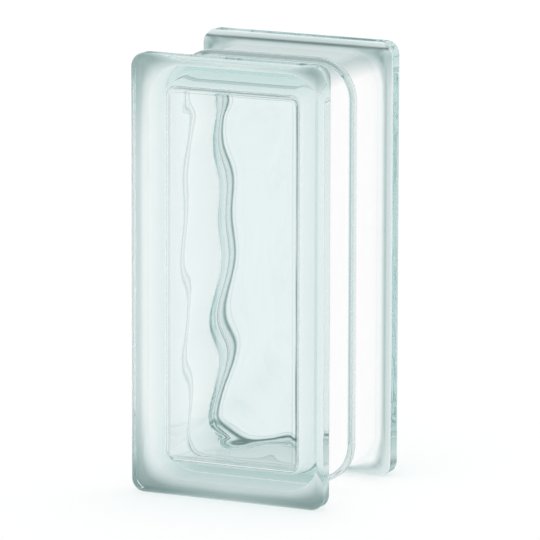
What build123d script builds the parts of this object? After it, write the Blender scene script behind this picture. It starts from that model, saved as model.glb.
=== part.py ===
"""Hollow glass block, half width: two pressed half shells fused into one sealed body.

The block stands on its short end, as it is laid in a wall. X runs across its width,
Y through its thickness from the front face to the back face, and Z up its height.
The origin is at the middle of the base. All sizes are in millimetres.
"""

from build123d import *
import math
import os

# Overall size of the block
block_width = 90.0
block_height = 190.0
block_depth = 80.0

# The rims: the edges of the two face plates, which stand out round the block
rim_thickness = 10.0
rim_corner_radius = 6.0
rim_face_radius = 2.5
rim_back_chamfer = 1.4

# The mortar channel that runs round the four narrow sides
channel_depth = 5.4
channel_corner_radius = 15.0
channel_foot_radius = 3.9

# The ridge of glass that the fusing presses out at the seam, in the channel
ridge_height = 2.4
ridge_width = 3.6
ridge_chamfer = 1.0

# The sealed hollow inside, widest at the seam
panel_thickness = 9.0
wall_at_seam = 4.4
wall_draft = 6.5
hollow_corner_radius = 8.5
hollow_end_radius = 4.0

# The lip of glass that the fusing presses into the hollow at the seam
lip_height = 0.9
lip_width = 2.4

# The soft waves on the inner face of each panel. Four trains of waves cross it, each
# with its length, its heading from the X axis, its height and where it starts
wave_trains = [
    (44.0, -31.0, 0.24, 116.0),
    (37.0, -36.0, 0.36, -79.0),
    (47.0, 15.0, 0.24, 62.0),
    (33.0, -54.0, 0.38, 161.0),
]
wave_fade = 8.0
wave_border = 1.0
wave_grid = 6.0

half_depth = block_depth / 2
mid_height = block_height / 2


def rounded_slab(width, height, corner, y_from, y_to, taper=0.0):
    """A rounded rectangle in the XZ plane, drawn out from y_from to y_to."""
    towards = 1.0 if y_to > y_from else -1.0
    start = Plane((0, y_from, mid_height), x_dir=(1, 0, 0), z_dir=(0, towards, 0))
    outline = start * RectangleRounded(width, height, corner)
    return extrude(outline, amount=abs(y_to - y_from), taper=taper)


def edges_at(shape, y):
    """The edges of a shape that lie flat in the plane at y."""
    return shape.edges().filter_by_position(Axis.Y, y - 0.01, y + 0.01)


def inset_edges(shape, y, inset):
    """The edges at y that stay at least this far inside the block's overall outline."""
    limit_x = block_width / 2 - inset + 0.1
    limit_z = block_height / 2 - inset + 0.1
    kept = []
    for edge in edges_at(shape, y):
        box = edge.bounding_box()
        reach_x = max(abs(box.min.X), abs(box.max.X))
        reach_z = max(abs(box.min.Z - mid_height), abs(box.max.Z - mid_height))
        if reach_x < limit_x and reach_z < limit_z:
            kept.append(edge)
    return kept


def seam_ridge():
    """The ridge of glass that the fusing presses out round the middle of the channel."""
    inset = channel_depth - ridge_height
    side = ridge_width / 2
    ridge = rounded_slab(
        block_width - 2 * inset,
        block_height - 2 * inset,
        channel_corner_radius + ridge_height,
        -side,
        side,
    )
    return chamfer(edges_at(ridge, side) + edges_at(ridge, -side), ridge_chamfer)


def face_plate():
    """The front face plate, its rim rounded in front and chamfered behind."""
    front = -half_depth
    back = front + rim_thickness
    plate = rounded_slab(block_width, block_height, rim_corner_radius, front, back)
    plate = fillet(edges_at(plate, front), rim_face_radius)
    return chamfer(edges_at(plate, back), rim_back_chamfer)


def outside():
    """The block's outer form, with the mortar channel and the seam's ridge."""
    width = block_width - 2 * channel_depth
    height = block_height - 2 * channel_depth
    foot = half_depth - rim_thickness
    core = rounded_slab(width, height, channel_corner_radius, -foot - 1, foot + 1)
    plate = face_plate()
    body = plate + plate.rotate(Axis.Z, 180) + core
    feet = inset_edges(body, foot, channel_depth) + inset_edges(body, -foot, channel_depth)
    body = fillet(feet, channel_foot_radius)
    return body + seam_ridge()


def fading(distance):
    """From 0 at the edge of the waved area to 1 where the waves have their full height."""
    share = min(1.0, max(0.0, distance / wave_fade))
    return share * share * (3 - 2 * share)


def relief(x, z, half_width, half_height):
    """Height of the waves at a place on the panel, towards the hollow."""
    total = 0.0
    for length, heading, height, start in wave_trains:
        along = x * math.cos(math.radians(heading)) + z * math.sin(math.radians(heading))
        total += height * math.cos(2 * math.pi * along / length + math.radians(start))
    return total * fading(half_width - abs(x)) * fading(half_height - abs(z))


def waved_sheet(width, height, panel_y):
    """The waved inner face of the front panel, level with panel_y round its border."""
    columns = math.ceil(width / wave_grid)
    rows = math.ceil(height / wave_grid)
    grid = []
    for i in range(columns + 1):
        x = (i / columns - 0.5) * width
        line = []
        for j in range(rows + 1):
            z = (j / rows - 0.5) * height
            y = panel_y + relief(x, z, width / 2, height / 2)
            line.append(Vector(x, y, mid_height + z))
        grid.append(line)
    return Face.make_surface_from_array_of_points(grid)


def half_hollow():
    """The front half of the sealed hollow, from the seam to the waved panel."""
    inset = channel_depth + wall_at_seam
    panel_y = -half_depth + panel_thickness
    width = block_width - 2 * inset
    height = block_height - 2 * inset
    room = rounded_slab(width, height, hollow_corner_radius, 0, panel_y, taper=wall_draft)
    room = fillet(edges_at(room, panel_y), hollow_end_radius)
    drawn_in = -panel_y * math.tan(math.radians(wall_draft)) + hollow_end_radius + wave_border
    sheet = waved_sheet(width - 2 * drawn_in, height - 2 * drawn_in, panel_y)
    end = room.faces().sort_by(Axis.Y)[0]
    border = end.make_holes([sheet.outer_wire()])
    walls = [face for face in room.faces() if not face.is_same(end)]
    return Solid(Shell(walls + [border, sheet]))


def seam_lip():
    """The glass left standing at the seam round a hole that narrows to a sharp waist."""
    inset = channel_depth + wall_at_seam + lip_height
    width = block_width - 2 * inset
    height = block_height - 2 * inset
    corner = hollow_corner_radius - lip_height
    side = lip_width / 2
    flare = -math.degrees(math.atan2(lip_height, side))
    ring = rounded_slab(block_width, block_height, rim_corner_radius, -side, side)
    hole = rounded_slab(width, height, corner, 0, side, taper=flare)
    return ring - hole - hole.rotate(Axis.Z, 180)


def hollow():
    """The whole sealed hollow. Its back half is the front half turned about Z."""
    half = half_hollow()
    return half + half.rotate(Axis.Z, 180) - seam_lip()


def build():
    return outside() - hollow()


if __name__ == "__main__":
    os.makedirs("parts", exist_ok=True)
    block = build()
    export_step(block, "parts/glass_block.step")
    print("solids", len(block.solids()), "volume", round(block.volume), "valid", block.is_valid)
    print("size", block.bounding_box().size)
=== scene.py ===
import math

import bmesh
import bpy
from mathutils import Matrix, Vector


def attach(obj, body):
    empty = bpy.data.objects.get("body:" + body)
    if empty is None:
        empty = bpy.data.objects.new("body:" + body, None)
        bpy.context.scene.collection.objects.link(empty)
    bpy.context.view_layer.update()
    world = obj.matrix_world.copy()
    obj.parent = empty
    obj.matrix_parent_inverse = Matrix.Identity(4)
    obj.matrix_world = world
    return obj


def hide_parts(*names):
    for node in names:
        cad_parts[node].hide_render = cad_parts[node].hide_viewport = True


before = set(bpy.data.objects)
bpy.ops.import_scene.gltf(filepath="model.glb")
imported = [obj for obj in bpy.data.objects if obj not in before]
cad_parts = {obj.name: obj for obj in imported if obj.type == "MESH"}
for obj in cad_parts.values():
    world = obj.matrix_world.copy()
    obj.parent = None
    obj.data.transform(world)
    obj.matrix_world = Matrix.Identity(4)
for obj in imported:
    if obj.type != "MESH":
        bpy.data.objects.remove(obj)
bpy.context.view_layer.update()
print("frame loaded:", sorted(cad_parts))

mm = 0.001  # sizes are millimetres unless a note says otherwise, Blender works in metres
hair = 0.02  # two rings in one plane would bridge crosswise, so one stands this far off
closeEnough = 0.005  # a point this near to a ring lies on it
nearSurface = 0.1  # a point this near to a surface belongs to it
slack = 0.01  # allowed where a limit falls on a row of points
sideCuts = 11  # points along each straight side of a ring
longestSide = 20.0  # a straight side longer than this has not been cut yet
standing = (math.radians(90), 0.0, 0.0)  # turns a flat shape up to face the front


# camera, set where the photograph was taken from; its place and slides are in metres

cameraView = {
    "target": (0.0, 0.0, 0.095),
    "turn": 25.13,  # degrees to the right of straight in front
    "rise": 11.4,  # degrees above level
    "distance": 2.6651,
    "slideRight": 0.00187,
    "slideUp": -0.0018,
    "roll": 0.13,
    "lens": 415.87,
    "sensor": 36.0,
    "farthest": 50.0,
}


def addCamera(view):
    turn, rise, roll = (math.radians(view[name]) for name in ("turn", "rise", "roll"))
    towards = Vector((
        math.sin(turn) * math.cos(rise),
        -math.cos(turn) * math.cos(rise),
        math.sin(rise),
    ))
    right = Vector((math.cos(turn), math.sin(turn), 0.0))
    up = towards.cross(right)
    place = Vector(view["target"]) + towards * view["distance"]
    place += right * view["slideRight"] + up * view["slideUp"]
    rolledRight = right * math.cos(roll) + up * math.sin(roll)
    rolledUp = up * math.cos(roll) - right * math.sin(roll)
    bpy.ops.object.camera_add()
    camera = bpy.context.object
    camera.name = "photoCamera"
    turned = Matrix((rolledRight, rolledUp, towards)).transposed().to_4x4()
    turned.translation = place
    camera.matrix_world = turned
    camera.data.lens = view["lens"]
    camera.data.sensor_width = view["sensor"]
    camera.data.clip_end = view["farthest"]
    bpy.context.scene.camera = camera


addCamera(cameraView)
print("camera placed")


# small helpers for modelling


def deselectAll():
    if bpy.context.mode != "OBJECT":
        bpy.ops.object.mode_set(mode="OBJECT")
    bpy.ops.object.select_all(action="DESELECT")


def newShell(name):
    # a small plane gives the object its mesh; it is cleared, and the rings go into it
    deselectAll()
    bpy.ops.mesh.primitive_plane_add(size=0.01)
    shell = bpy.context.object
    shell.name = name
    shell.data.name = name
    bpy.ops.object.mode_set(mode="EDIT")
    bpy.ops.mesh.select_mode(type="VERT")
    bpy.ops.mesh.select_all(action="SELECT")
    bpy.ops.mesh.delete(type="VERT")
    return shell


def addRing(ring, size, steps):
    # ring is (inset from the block's outline, place along Y, corner radius)
    inset, y, corner = (value * mm for value in ring)
    centre = (0.0, y, size["height"] * mm / 2)
    bpy.ops.mesh.select_all(action="DESELECT")
    bpy.ops.mesh.primitive_plane_add(size=1.0, location=centre, rotation=standing)
    wide = size["width"] * mm - 2 * inset
    high = size["height"] * mm - 2 * inset
    bpy.ops.transform.resize(value=(wide, 1.0, high), center_override=centre)
    bpy.ops.mesh.bevel(offset=corner, offset_type="OFFSET", segments=steps, affect="VERTICES")
    bpy.ops.mesh.delete(type="ONLY_FACE")
    # points along the straight sides too, so that a colour can change along them
    bpy.ops.mesh.select_mode(type="EDGE")
    bpy.ops.mesh.select_all(action="DESELECT")
    mesh = bmesh.from_edit_mesh(bpy.context.object.data)
    for edge in mesh.edges:
        edge.select = edge.calc_length() > longestSide * mm
    bmesh.update_edit_mesh(bpy.context.object.data)
    bpy.ops.mesh.subdivide(number_cuts=sideCuts)
    bpy.ops.mesh.select_mode(type="VERT")


def outsideOf(place, inset, corner, size):
    # how far a place lies outside a rounded outline, drawn in from the block's by inset
    acrossX = abs(place.x) - (size["width"] / 2 - inset - corner)
    acrossZ = abs(place.z - size["height"] / 2) - (size["height"] / 2 - inset - corner)
    beyond = math.hypot(max(acrossX, 0.0), max(acrossZ, 0.0))
    return beyond + min(max(acrossX, acrossZ), 0.0) - corner


def onRing(point, ring, size):
    inset, y, corner = ring
    if abs(point.y / mm - y) > closeEnough:
        return False
    return abs(outsideOf(point / mm, inset, corner, size)) < closeEnough


def selectRings(shell, rings, size):
    bpy.ops.mesh.select_mode(type="EDGE")
    bpy.ops.mesh.select_all(action="DESELECT")
    mesh = bmesh.from_edit_mesh(shell.data)
    for ring in rings:
        there = {vertex for vertex in mesh.verts if onRing(vertex.co, ring, size)}
        for edge in mesh.edges:
            if edge.verts[0] in there and edge.verts[1] in there:
                edge.select = True
    bmesh.update_edit_mesh(shell.data)


def skinRings(shell, rings, size):
    for first, second in zip(rings, rings[1:]):
        selectRings(shell, [first, second], size)
        bpy.ops.mesh.bridge_edge_loops()


def quarterTurn(steps):
    return [math.radians(90) * step / steps for step in range(steps + 1)]


# the block's overall size, from which both its surfaces are drawn in

blockSize = {
    "width": 90.0,
    "height": 190.0,
    "depth": 80.0,
}


# the outside: two face plates with rounded rims, the mortar channel between them and its ridge

outsideSize = {
    **blockSize,
    "plate": 10.0,
    "rimCorner": 6.0,
    "faceRound": 2.5,
    "rimBackRound": 3.0,
    "flankTilt": 12.0,
    "channelDepth": 5.4,
    "channelCorner": 15.0,
    "ridgeHeight": 2.4,
    "ridgeWidth": 3.6,
    "ridgeRound": 1.0,
    "ridgeFoot": 0.5,
    # painted shade on the ridge, darker near the top of the block, and on the rounding round the
    # face
    "ridgeShade": 0.22,  # how dark the ridge is
    "ridgeShadeAbove": 0.45,  # how dark it is at the top of the block
    "ridgeShadeReach": 10.0,  # and how far down that goes
    "rimShade": 0.02,  # how dark the rounding round the face is
    "cornerSteps": 24,
    "roundSteps": 8,
}


def outsideRings(size):
    front = -size["depth"] / 2
    foot = front + size["plate"]
    turns = quarterTurn(size["roundSteps"])
    rings = []
    # the rounding round the face
    for turn in turns:
        inset = size["faceRound"] * (1 - math.sin(turn))
        y = front + size["faceRound"] * (1 - math.cos(turn))
        rings.append((inset, y, size["rimCorner"] - inset))
    # the rounding on the rim's other side, which ends at the leaning flank
    deep = size["channelDepth"]
    tilt = math.radians(size["flankTilt"])
    steps = size["roundSteps"]
    leaning = [tilt + (math.radians(90) - tilt) * step / steps for step in range(steps + 1)]
    for turn in reversed(leaning):
        inset = size["rimBackRound"] * (1 - math.sin(turn))
        y = foot - size["rimBackRound"] * (math.cos(tilt) - math.cos(turn))
        rings.append((inset, y, size["rimCorner"] - inset))
    # the hollowing down to the channel's floor, with the corners growing wider on the way
    hollowing = deep / (1 - math.sin(tilt)) - size["rimBackRound"]
    start = rings[-1][0]
    for turn in leaning[1:]:
        inset = deep - hollowing * (1 - math.sin(turn))
        y = foot + hollowing * (math.cos(tilt) - math.cos(turn))
        corner = size["channelCorner"] + deep - inset
        share = (inset - start) / (deep - start)
        straight = size["rimCorner"] - start
        rings.append((inset, y, straight + (corner - straight) * min(1.0, share * 2)))
    # the ridge's foot and its rounded top
    side = -size["ridgeWidth"] / 2
    for turn in turns:
        inset = deep - size["ridgeFoot"] * (1 - math.cos(turn))
        y = side - size["ridgeFoot"] * (1 - math.sin(turn))
        rings.append((inset, y, size["channelCorner"] + deep - inset))
    for turn in turns:
        inset = deep - size["ridgeHeight"] + size["ridgeRound"] * (1 - math.sin(turn))
        y = side + hair + (size["ridgeRound"] - hair) * (1 - math.cos(turn))
        rings.append((inset, y, size["channelCorner"] + deep - inset))
    return rings + [(inset, -y, corner) for inset, y, corner in reversed(rings)]


def makeOutside(size):
    shell = newShell("glassBlock")
    rings = outsideRings(size)
    for ring in rings:
        addRing(ring, size, size["cornerSteps"])
    skinRings(shell, rings, size)
    for end in (rings[0], rings[-1]):
        selectRings(shell, [end], size)
        bpy.ops.mesh.edge_face_add()
    bpy.ops.mesh.select_all(action="SELECT")
    bpy.ops.mesh.normals_make_consistent(inside=False)
    bpy.ops.object.mode_set(mode="OBJECT")
    return shell


# the sealed hollow: drafted walls, a lip at the seam and a waved inner face on each panel

hollowSize = {
    **blockSize,
    "panel": 9.0,
    "insetAtSeam": 9.8,
    "draft": 6.5,
    "corner": 8.5,
    "endRound": 4.0,
    "lipHeight": 0.9,
    "lipReach": 1.5,
    "lipSteps": 12,
    # painted shade on the seam's lip
    "lipShade": 0.4,
    "border": 1.0,
    "sheetStep": 0.75,
    "fade": 8.0,
    "cornerSteps": 24,
    "roundSteps": 24,
    # painted shade on the end roundings, drawing their dark lines, by degrees round them from
    # the panel to the wall
    "roundShade": [
        (0.0, 0.0),
        (5.0, 0.0),
        (8.5, 0.7),
        (12.0, 0.0),
        (26.0, 0.0),
        (34.0, 1.0),
        (42.0, 0.35),
        (58.0, 0.35),
        (70.0, 0.6),
        (80.0, 0.3),
        (90.0, 0.0),
    ],
    # and by what share, by millimetres above or below the middle, and at the four corners
    "roundShadeAlong": [(20.0, 0.6), (75.0, 1.0)],
    "roundShadeAtCorners": 0.35,
    # each train of waves: its length, its heading from X, its height and where it starts
    "waves": [
        (44.0, -31.0, 0.24, 116.0),
        (37.0, -36.0, 0.36, -79.0),
        (47.0, 15.0, 0.24, 62.0),
        (33.0, -54.0, 0.38, 161.0),
    ],
}


def hollowRings(size):
    draft = math.radians(size["draft"])
    seam = size["insetAtSeam"]
    panelY = -size["depth"] / 2 + size["panel"]
    radius = size["endRound"]
    centreY = panelY + radius
    wallY = centreY - radius * math.sin(draft)
    centreInset = seam - wallY * math.tan(draft) + radius * math.cos(draft)
    rings = []
    for step in range(size["roundSteps"] + 1):
        turn = math.radians(90) + (draft - math.radians(90)) * step / size["roundSteps"]
        inset = centreInset - radius * math.cos(turn)
        rings.append((inset, centreY - radius * math.sin(turn), size["corner"] - inset + seam))
    reach = size["lipReach"]
    for step in range(size["lipSteps"] // 2 + 1):
        y = -reach * (1 - 2 * step / size["lipSteps"])
        rise = size["lipHeight"] * (1 + math.cos(math.pi * y / reach)) / 2
        inset = seam - y * math.tan(draft) + rise
        rings.append((inset, y, size["corner"] - inset + seam))
    return rings + [(inset, -y, corner) for inset, y, corner in reversed(rings[:-1])]


def fading(distance, size):
    share = min(1.0, max(0.0, distance / size["fade"]))
    return share * share * (3 - 2 * share)


def relief(x, z, halfWide, halfHigh, size):
    total = 0.0
    for length, heading, height, start in size["waves"]:
        along = x * math.cos(math.radians(heading)) + z * math.sin(math.radians(heading))
        total += height * math.cos(2 * math.pi * along / length + math.radians(start))
    return total * fading(halfWide - abs(x), size) * fading(halfHigh - abs(z), size)


def addSheet(shell, end, size, side):
    # side is -1 for the front panel and 1 for the back one, the front one turned about Z
    panelY = -size["depth"] / 2 + size["panel"]
    drawnIn = size["insetAtSeam"] - panelY * math.tan(math.radians(size["draft"]))
    drawnIn += size["endRound"] + size["border"]
    wide = size["width"] - 2 * drawnIn
    high = size["height"] - 2 * drawnIn
    middle = size["height"] / 2
    centre = (0.0, side * (hair - panelY) * mm, middle * mm)
    bpy.ops.mesh.select_all(action="DESELECT")
    bpy.ops.mesh.primitive_grid_add(
        x_subdivisions=round(wide / size["sheetStep"]),
        y_subdivisions=round(high / size["sheetStep"]),
        size=1.0,
        location=centre,
        rotation=standing,
    )
    bpy.ops.transform.resize(value=(wide * mm, 1.0, high * mm), center_override=centre)
    bpy.ops.mesh.select_mode(type="VERT")
    mesh = bmesh.from_edit_mesh(shell.data)
    sheet = [vertex for vertex in mesh.verts if vertex.select]
    rim = {vertex for vertex in sheet if vertex.is_boundary}
    for vertex in sheet:
        x = vertex.co.x / mm * -side
        z = vertex.co.z / mm - middle
        vertex.co.y -= side * relief(x, z, wide / 2, high / 2, size) * mm
    bmesh.update_edit_mesh(shell.data)
    selectRings(shell, [end], size)
    mesh = bmesh.from_edit_mesh(shell.data)
    for edge in mesh.edges:
        if edge.is_boundary and edge.verts[0] in rim and edge.verts[1] in rim:
            edge.select = True
    bmesh.update_edit_mesh(shell.data)
    bpy.ops.mesh.bridge_edge_loops()


def makeHollow(size):
    shell = newShell("glassBlockHollow")
    rings = hollowRings(size)
    for ring in rings:
        addRing(ring, size, size["cornerSteps"])
    skinRings(shell, rings, size)
    addSheet(shell, rings[0], size, -1)
    addSheet(shell, rings[-1], size, 1)
    bpy.ops.mesh.select_all(action="SELECT")
    bpy.ops.mesh.normals_make_consistent(inside=True)  # the glass lies outside the hollow
    bpy.ops.object.mode_set(mode="OBJECT")
    return shell


def joinShells(outside, hollow):
    deselectAll()
    outside.select_set(True)
    hollow.select_set(True)
    bpy.context.view_layer.objects.active = outside
    bpy.ops.object.join()
    bpy.ops.object.transform_apply(location=True, rotation=True, scale=True)
    bpy.ops.object.shade_smooth()
    # flat faces keep flat normals, so that only the rounded edges bend the light
    bpy.ops.object.modifier_add(type="WEIGHTED_NORMAL")
    outside.modifiers[-1].weight = 100
    bpy.ops.object.modifier_apply(modifier=outside.modifiers[-1].name)
    return outside


glassBlock = joinShells(makeOutside(outsideSize), makeHollow(hollowSize))
modelled = bmesh.new()
modelled.from_mesh(glassBlock.data)
openEdges = sum(1 for edge in modelled.edges if len(edge.link_faces) != 2)
volume = modelled.calc_volume(signed=True) / mm ** 3
modelled.free()
print("block modelled:", len(glassBlock.data.polygons), "faces,", openEdges, "open edges,",
      "volume", round(volume))


# materials


def srgb(hexText):
    # the standard curve from a screen colour to linear light
    values = []
    for place in (0, 2, 4):
        value = int(hexText[place:place + 2], 16) / 255
        values.append(value / 12.92 if value <= 0.04045 else ((value + 0.055) / 1.055) ** 2.4)
    return (*values, 1.0)


def addNode(tree, kind, settings=None, values=None, links=None):
    # links maps an input's name or number to (node, output name or number)
    # a colour Mix has its factor at 0, its two colours at 6 and 7 and its result at 2
    node = tree.nodes.new(kind)
    for name, value in (settings or {}).items():
        setattr(node, name, value)
    for name, value in (values or {}).items():
        node.inputs[name].default_value = value
    for name, (source, output) in (links or {}).items():
        tree.links.new(source.outputs[output], node.inputs[name])
    return node


glassFinish = {
    "ior": 1.52,
    "skin": "fcfefe",
    "paintedShadeAtRoundings": "46696a",
    "tint": "c4e2e1",
    "tintDensity": 16.5,  # per metre
    "coatThrough": 0.99,
    "rippleLength": 8.0,
    "rippleHeight": 0.009,
    "rippleDetail": 2.0,
    "patchLength": 9.0,
    "patchDetail": 3.0,
    "patchRange": (0.3, 0.7),  # noise from where a patch is darkest to where there is none
    "patchShade": 0.985,
}


def makeGlass(finish):
    # pressed soda-lime glass, fire polished: clear, with a faint green where it is thick
    material = bpy.data.materials.new("pressedSodaLimeGlass")
    material.use_nodes = True
    tree = material.node_tree
    tree.nodes.clear()
    output = addNode(tree, "ShaderNodeOutputMaterial")
    # painted shade: the roundings let less light through than the flat faces, which draws the
    # dark lines that the bent light shows along them
    roundingPaintedShade = addNode(tree, "ShaderNodeAttribute", {"attribute_name": "roundingPaintedShade"})
    skin = addNode(tree, "ShaderNodeMix", {"data_type": "RGBA"}, {
        6: srgb(finish["skin"]),
        7: srgb(finish["paintedShadeAtRoundings"]),
    }, {0: (roundingPaintedShade, "Fac")})
    # the pressing leaves faint ripples a few millimetres long
    place = addNode(tree, "ShaderNodeTexCoord")
    ripple = addNode(tree, "ShaderNodeTexNoise", None, {
        "Scale": 1.0 / (finish["rippleLength"] * mm),
        "Detail": finish["rippleDetail"],
    }, {"Vector": (place, "Object")})
    bump = addNode(tree, "ShaderNodeBump", None, {
        "Strength": 1.0,
        "Distance": finish["rippleHeight"] * mm,
    }, {"Height": (ripple, 0)})
    glass = addNode(tree, "ShaderNodeBsdfPrincipled", None, {
        "Roughness": 0.0,
        "IOR": finish["ior"],
        "Transmission Weight": 1.0,
    }, {"Base Color": (skin, 2), "Normal": (bump, 0)})
    # the milky edge coat in the mortar channel, which lets light through and blurs it
    # its two sides differ, and both carry painted shade: seen through the glass it is greyer
    # towards the rims and the ends, and from outside it has painted dark bands along the rims
    # and the top
    side = addNode(tree, "ShaderNodeNewGeometry")
    outer = addNode(tree, "ShaderNodeAttribute", {"attribute_name": "coatAndShadeOutside"})
    inner = addNode(tree, "ShaderNodeAttribute", {"attribute_name": "coatAndShadeInside"})
    colour = addNode(tree, "ShaderNodeMix", {"data_type": "RGBA"}, None,
                     {0: (side, "Backfacing"), 6: (outer, "Color"), 7: (inner, "Color")})
    # the coat is a little uneven, so it is slightly darker here and there
    patches = addNode(tree, "ShaderNodeTexNoise", None, {
        "Scale": 1.0 / (finish["patchLength"] * mm),
        "Detail": finish["patchDetail"],
    }, {"Vector": (place, "Object")})
    patches = addNode(tree, "ShaderNodeMapRange", None, {
        "From Min": finish["patchRange"][0],
        "From Max": finish["patchRange"][1],
        "To Min": finish["patchShade"],
        "To Max": 1.0,
    }, {"Value": (patches, 0)})
    colour = addNode(tree, "ShaderNodeVectorMath", {"operation": "SCALE"}, None,
                     {0: (colour, 2), "Scale": (patches, 0)})
    coatOut = addNode(tree, "ShaderNodeBsdfDiffuse", None, None, {"Color": (colour, 0)})
    coatIn = addNode(tree, "ShaderNodeBsdfTranslucent", None, None, {"Color": (colour, 0)})
    # either way it is mostly the light outside that brightens it
    through = addNode(tree, "ShaderNodeMapRange", None, {
        "To Min": 1.0 - finish["coatThrough"],
        "To Max": finish["coatThrough"],
    }, {"Value": (side, "Backfacing")})
    coat = addNode(tree, "ShaderNodeMixShader", None, None,
                   {0: (through, 0), 1: (coatOut, 0), 2: (coatIn, 0)})
    mask = addNode(tree, "ShaderNodeAttribute", {"attribute_name": "edgeCoat"})
    # scattered light passes straight through the clear glass, so that it reaches the coat
    light = addNode(tree, "ShaderNodeLightPath")
    straight = addNode(tree, "ShaderNodeBsdfTransparent")
    scattered = addNode(tree, "ShaderNodeMath", {"operation": "MAXIMUM"}, None,
                        {0: (light, "Is Diffuse Ray"), 1: (light, "Is Shadow Ray")})
    clear = addNode(tree, "ShaderNodeMixShader", None, None,
                    {0: (scattered, 0), 1: (glass, 0), 2: (straight, 0)})
    surface = addNode(tree, "ShaderNodeMixShader", None, None,
                      {0: (mask, "Fac"), 1: (clear, 0), 2: (coat, 0)})
    tree.links.new(surface.outputs[0], output.inputs["Surface"])
    tintVolume = addNode(tree, "ShaderNodeVolumeAbsorption", None, {
        "Color": srgb(finish["tint"]),
        "Density": finish["tintDensity"],
    })
    tree.links.new(tintVolume.outputs[0], output.inputs["Volume"])
    return material


def valueAt(stops, place):
    # the number at a place between stops, which are (place, number)
    for (before, first), (after, second) in zip(stops, stops[1:]):
        if place <= after:
            share = min(1.0, max(0.0, (place - before) / (after - before)))
            return first + (second - first) * share
    return stops[-1][1]


def shadeAt(stops, place):
    # the colour at a place between stops, which are (place, colour)
    for (before, first), (after, second) in zip(stops, stops[1:]):
        if place <= after:
            share = min(1.0, max(0.0, (place - before) / (after - before)))
            return [a + (b - a) * share for a, b in zip(srgb(first), srgb(second))]
    return list(srgb(stops[-1][1]))


edgeCoat = {
    "flankAmount": 0.9,  # on the flanks the coat is thinner than on the channel's floor
    "bare": 0.4,  # millimetres left bare along the rims
    "besideRidge": 0.3,  # and beside the ridge
    # colours from the channel's floor at 0 to the outline of the rim at 1, through the glass:
    # the white coat, greyed towards the rim with painted shade
    "inside": [
        (0.0, "fefefe"),
        (0.4, "f6f9f9"),
        (0.6, "d6e1e0"),
        (1.0, "d0dcdb"),
    ],
    # and from outside: the white coat, with a painted dark band where the rim's back rounding
    # meets the flank and lighter painted shade over the rounding
    "outside": [
        (0.0, "fefefe"),
        (0.3, "f8fcfc"),
        (0.39, "c6d5d4"),
        (0.46, "bccecd"),
        (0.55, "a9bfbe"),
        (0.64, "ccdbda"),
        (1.0, "e6f0ef"),
    ],
    # painted shade: the block's ends darken it inside, by millimetres above the middle
    "endShadeInside": [
        (-94.0, "b3c3c2"),
        (-89.0, "dae4e3"),
        (-84.0, "f0f6f5"),
        (-70.0, "ffffff"),
        (70.0, "ffffff"),
        (86.0, "f6faf9"),
        (92.0, "ecf3f2"),
    ],
    # painted shade in the four corners, darkening its flanks inside, from the centre of their
    # arcs outwards
    "corners": [
        (-22.0, "ffffff"),
        (0.0, "dde7e6"),
        (12.0, "c0cecd"),
    ],
    # painted shade along the top outside, with a thin painted dark line near the rim's edge
    "topShadeOutside": [
        (82.0, "ffffff"),
        (88.0, "c6d5d4"),
        (91.5, "e6efee"),
        (92.5, "5c7170"),
        (93.3, "ffffff"),
    ],
}


def endRounding(place, inner):
    # how many degrees round the hollow's end roundings a place lies, or None away from them
    draft = math.radians(inner["draft"])
    seam = inner["insetAtSeam"]
    radius = inner["endRound"]
    centreY = inner["depth"] / 2 - inner["panel"] - radius
    wallY = centreY + radius * math.sin(draft)
    centreInset = seam + wallY * math.tan(draft) + radius * math.cos(draft)
    out = outsideOf(place, centreInset, inner["corner"] - centreInset + seam, inner)
    beyond = abs(place.y) - centreY
    if out > -slack and beyond > 0.0 and abs(math.hypot(out, beyond) - radius) < nearSurface:
        return math.degrees(math.atan2(max(out, 0.0), beyond))
    return None


def paintEdgeCoatAndShade(piece, size, coat):
    # the coat covers the channel's floor and flanks, but not the ridge or the edges of the rims
    amounts = piece.data.attributes.new("edgeCoat", "FLOAT", "FACE")
    count = 0
    nearest = size["ridgeWidth"] / 2 + coat["besideRidge"]
    farthest = size["depth"] / 2 - size["plate"] / 2
    for face in piece.data.polygons:
        place = face.center / mm
        onFloor = outsideOf(place, size["channelDepth"], size["channelCorner"], size)
        bare = outsideOf(place, coat["bare"], size["rimCorner"], size) > 0.0
        if onFloor > -nearSurface and nearest < abs(place.y) < farthest and not bare:
            amount = 1.0 if onFloor < nearSurface else coat["flankAmount"]
            amounts.data[face.index].value = amount
            count += 1
    # the coat's white is greyed with painted shade towards the rims, the block's ends and
    # corners, and along the top
    outsides = piece.data.attributes.new("coatAndShadeOutside", "FLOAT_COLOR", "POINT")
    insides = piece.data.attributes.new("coatAndShadeInside", "FLOAT_COLOR", "POINT")
    for vertex in piece.data.vertices:
        place = vertex.co / mm
        fromFloor = outsideOf(place, size["channelDepth"], size["channelCorner"], size)
        fromFloor = max(0.0, fromFloor)
        fromRim = max(slack, -outsideOf(place, 0.0, size["rimCorner"], size))
        share = fromFloor / (fromFloor + fromRim)
        height = place.z - size["height"] / 2
        ends = shadeAt(coat["endShadeInside"], height)
        top = shadeAt(coat["topShadeOutside"], height)
        out = min(abs(place.x) - size["width"] / 2, abs(height) - size["height"] / 2)
        corner = shadeAt(coat["corners"], out + size["channelDepth"] + size["channelCorner"])
        # the painted corner shade darkens the flanks only, and fully from half-way up them
        dark = [a * (1 - min(1.0, 2 * share) * (1 - b)) for a, b in zip(ends, corner)]
        inside = shadeAt(coat["inside"], share)
        outside = shadeAt(coat["outside"], share)
        insides.data[vertex.index].color = [a * b for a, b in zip(inside, dark)]
        outsides.data[vertex.index].color = [a * b for a, b in zip(outside, top)]
    print("edge coat on", count, "faces")


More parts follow.
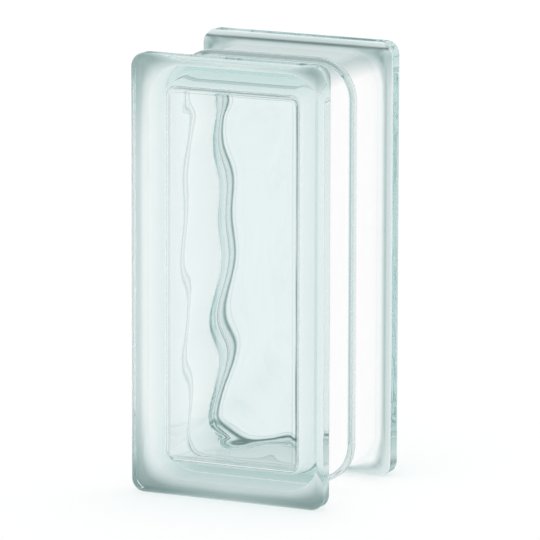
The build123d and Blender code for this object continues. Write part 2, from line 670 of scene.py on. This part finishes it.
def paintRoundingShades(piece, outer, inner):
    # painted shade: thin dark lines along the hollow's end roundings, softer painted shade on
    # the seam's lip, on the ridge and on the rounding round the faces, standing in for the dark
    # lines the bent light draws there
    seam = inner["insetAtSeam"]
    cornerAt = seam + inner["corner"]
    ridgeSide = outer["ridgeWidth"] / 2 + slack
    faceStart = outer["depth"] / 2 - outer["faceRound"] - slack
    marks = piece.data.attributes.new("roundingPaintedShade", "FLOAT", "POINT")
    for vertex in piece.data.vertices:
        place = vertex.co / mm
        turn = endRounding(place, inner)
        fromSeam = abs(outsideOf(place, seam, inner["corner"], inner))
        onFloor = outsideOf(place, outer["channelDepth"], outer["channelCorner"], outer)
        value = 0.0
        if turn is not None:
            value = valueAt(inner["roundShade"], turn)
            up = abs(place.z - inner["height"] / 2)
            value *= valueAt(inner["roundShadeAlong"], up)
            atSide = abs(place.x) > inner["width"] / 2 - cornerAt
            if atSide and up > inner["height"] / 2 - cornerAt:
                value *= inner["roundShadeAtCorners"]
        elif abs(place.y) < inner["lipReach"] and fromSeam < inner["lipReach"]:
            value = inner["lipShade"] * (1 + math.cos(math.pi * place.y / inner["lipReach"])) / 2
        elif abs(place.y) < ridgeSide and onFloor > -nearSurface:
            above = place.z > outer["height"] - outer["ridgeShadeReach"]
            value = outer["ridgeShadeAbove" if above else "ridgeShade"]
        elif abs(place.y) > faceStart:
            edge = (abs(place.y) - outer["depth"] / 2) / outer["faceRound"] + 1
            value = outer["rimShade"] * math.sin(math.pi * min(1.0, max(0.0, edge)))
        marks.data[vertex.index].value = max(0.0, value)


glass = makeGlass(glassFinish)
paintEdgeCoatAndShade(glassBlock, outsideSize, edgeCoat)
paintRoundingShades(glassBlock, outsideSize, hollowSize)
glassBlock.data.materials.clear()
glassBlock.data.materials.append(glass)
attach(glassBlock, "root")
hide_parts("glass_block")


# floor and light

studio = {
    "floorSize": 12.0,  # metres
    "floorDrop": 0.2,  # below the block's base, so that no two faces share a plane
    "floorColour": "fefefe",
    "floorGlow": 0.03,
    # brightness by degrees away from the middle of the screen behind the block
    "screen": [
        (3.0, 0.97),
        (14.0, 0.95),
        (18.0, 0.8),
        (21.0, 0.45),
        (25.0, 0.4),
        (29.0, 0.75),
        (34.0, 0.92),
        (50.0, 1.0),
    ],
    # brightness by degrees above level
    "bands": [
        (-47.0, 1.0),
        (-41.0, 0.85),
        (-37.0, 0.55),
        (-33.0, 0.42),
        (-29.0, 0.62),
        (-24.0, 0.88),
        (-15.0, 1.0),
        (-4.0, 1.0),
        (3.0, 0.94),
        (25.0, 0.94),
        (45.0, 1.0),
    ],
    # powers of the brightness in red, green and blue: the dim parts are a little green, like
    # all that shows through this glass
    "dimTint": (1.4, 0.95, 0.97),
}


def seenByGlass(tree):
    # 1 for a ray that the clear glass has bent or mirrored, 0 for the camera's own rays and for
    # scattered light
    light = addNode(tree, "ShaderNodeLightPath")
    bent = addNode(tree, "ShaderNodeMath", {"operation": "MAXIMUM"}, None,
                   {0: (light, "Is Glossy Ray"), 1: (light, "Is Transmission Ray")})
    scattered = addNode(tree, "ShaderNodeMath", {"operation": "ADD"}, None,
                        {0: (light, "Is Diffuse Ray"), 1: (light, "Diffuse Depth")})
    return addNode(tree, "ShaderNodeMath", {"operation": "SUBTRACT", "use_clamp": True}, None,
                   {0: (bent, 0), 1: (scattered, 0)})


def makeFloor(settings):
    deselectAll()
    below = (0.0, 0.0, -settings["floorDrop"] * mm)
    bpy.ops.mesh.primitive_plane_add(size=settings["floorSize"], location=below)
    floor = bpy.context.object
    floor.name = "paperFloor"
    bpy.ops.object.transform_apply(location=True, rotation=True, scale=True)
    material = bpy.data.materials.new("mattWhitePaper")
    material.use_nodes = True
    tree = material.node_tree
    tree.nodes.clear()
    output = addNode(tree, "ShaderNodeOutputMaterial")
    colour = srgb(settings["floorColour"])
    paper = addNode(tree, "ShaderNodeBsdfDiffuse", None, {"Color": colour})
    light = addNode(tree, "ShaderNodeLightPath")
    level = settings["floorGlow"]
    glow = addNode(tree, "ShaderNodeEmission", None, {"Color": (level, level, level, 1.0)})
    both = addNode(tree, "ShaderNodeAddShader", None, None, {0: (paper, 0), 1: (glow, 0)})
    # the light tent lights the block from below too, so only the camera meets the paper
    clear = addNode(tree, "ShaderNodeBsdfTransparent")
    surface = addNode(tree, "ShaderNodeMixShader", None, None,
                      {0: (light, "Is Camera Ray"), 1: (clear, 0), 2: (both, 0)})
    tree.links.new(surface.outputs[0], output.inputs["Surface"])
    floor.data.materials.append(material)


def addLevels(tree, stops, tint, source, lowest, highest):
    # brightness by an angle: stops are (degrees, brightness), source gives the angle in radians
    def shade(value):
        return (*[value ** power for power in tint], 1.0)

    share = addNode(tree, "ShaderNodeMapRange", None, {
        "From Min": math.radians(lowest),
        "From Max": math.radians(highest),
    }, {"Value": source})
    levels = addNode(tree, "ShaderNodeValToRGB", None, None, {"Fac": (share, "Result")})
    ramp = levels.color_ramp.elements
    ramp[1].position = (stops[-1][0] - lowest) / (highest - lowest)
    ramp[1].color = shade(stops[-1][1])
    ramp[0].position = (stops[0][0] - lowest) / (highest - lowest)
    ramp[0].color = shade(stops[0][1])
    for degrees, value in stops[1:-1]:
        ramp.new((degrees - lowest) / (highest - lowest)).color = shade(value)
    return levels


def makeWorld(settings):
    # white all round for the camera and for matt things; glass sees a white screen behind the
    # block and dimmer walls at the sides, which draw its edges
    world = bpy.data.worlds.new("lightTent")
    bpy.context.scene.world = world
    world.use_nodes = True
    tree = world.node_tree
    tree.nodes.clear()
    turn, rise = math.radians(cameraView["turn"]), math.radians(cameraView["rise"])
    away = (-math.sin(turn) * math.cos(rise), math.cos(turn) * math.cos(rise), -math.sin(rise))
    place = addNode(tree, "ShaderNodeTexCoord")
    facing = addNode(tree, "ShaderNodeVectorMath", {"operation": "DOT_PRODUCT"}, {1: away},
                     {0: (place, "Generated")})
    angle = addNode(tree, "ShaderNodeMath", {"operation": "ARCCOSINE"}, None,
                    {0: (facing, "Value")})
    screen = addLevels(tree, settings["screen"], settings["dimTint"], (angle, 0), 0.0, 180.0)
    height = addNode(tree, "ShaderNodeSeparateXYZ", None, None, {0: (place, "Generated")})
    height = addNode(tree, "ShaderNodeMath", {"operation": "ARCSINE"}, None, {0: (height, "Z")})
    bands = addLevels(tree, settings["bands"], settings["dimTint"], (height, 0), -90.0, 90.0)
    walls = addNode(tree, "ShaderNodeVectorMath", {"operation": "MULTIPLY"}, None,
                    {0: (screen, 0), 1: (bands, 0)})
    colour = addNode(tree, "ShaderNodeMix", {"data_type": "RGBA"})
    tree.links.new(seenByGlass(tree).outputs[0], colour.inputs[0])
    colour.inputs[6].default_value = (1.0, 1.0, 1.0, 1.0)
    tree.links.new(walls.outputs[0], colour.inputs[7])
    background = addNode(tree, "ShaderNodeBackground", None, {"Strength": 1.0},
                         {"Color": (colour, 2)})
    output = addNode(tree, "ShaderNodeOutputWorld")
    tree.links.new(background.outputs[0], output.inputs["Surface"])


makeFloor(studio)
makeWorld(studio)
print("floor and light tent made")

scene = bpy.context.scene
scene.view_settings.view_transform = "Standard"
scene.cycles.max_bounces = 32
scene.cycles.transmission_bounces = 32
scene.cycles.diffuse_bounces = 16
scene.cycles.transparent_max_bounces = 48
scene.cycles.blur_glossy = 0.0
scene.cycles.glossy_bounces = 16
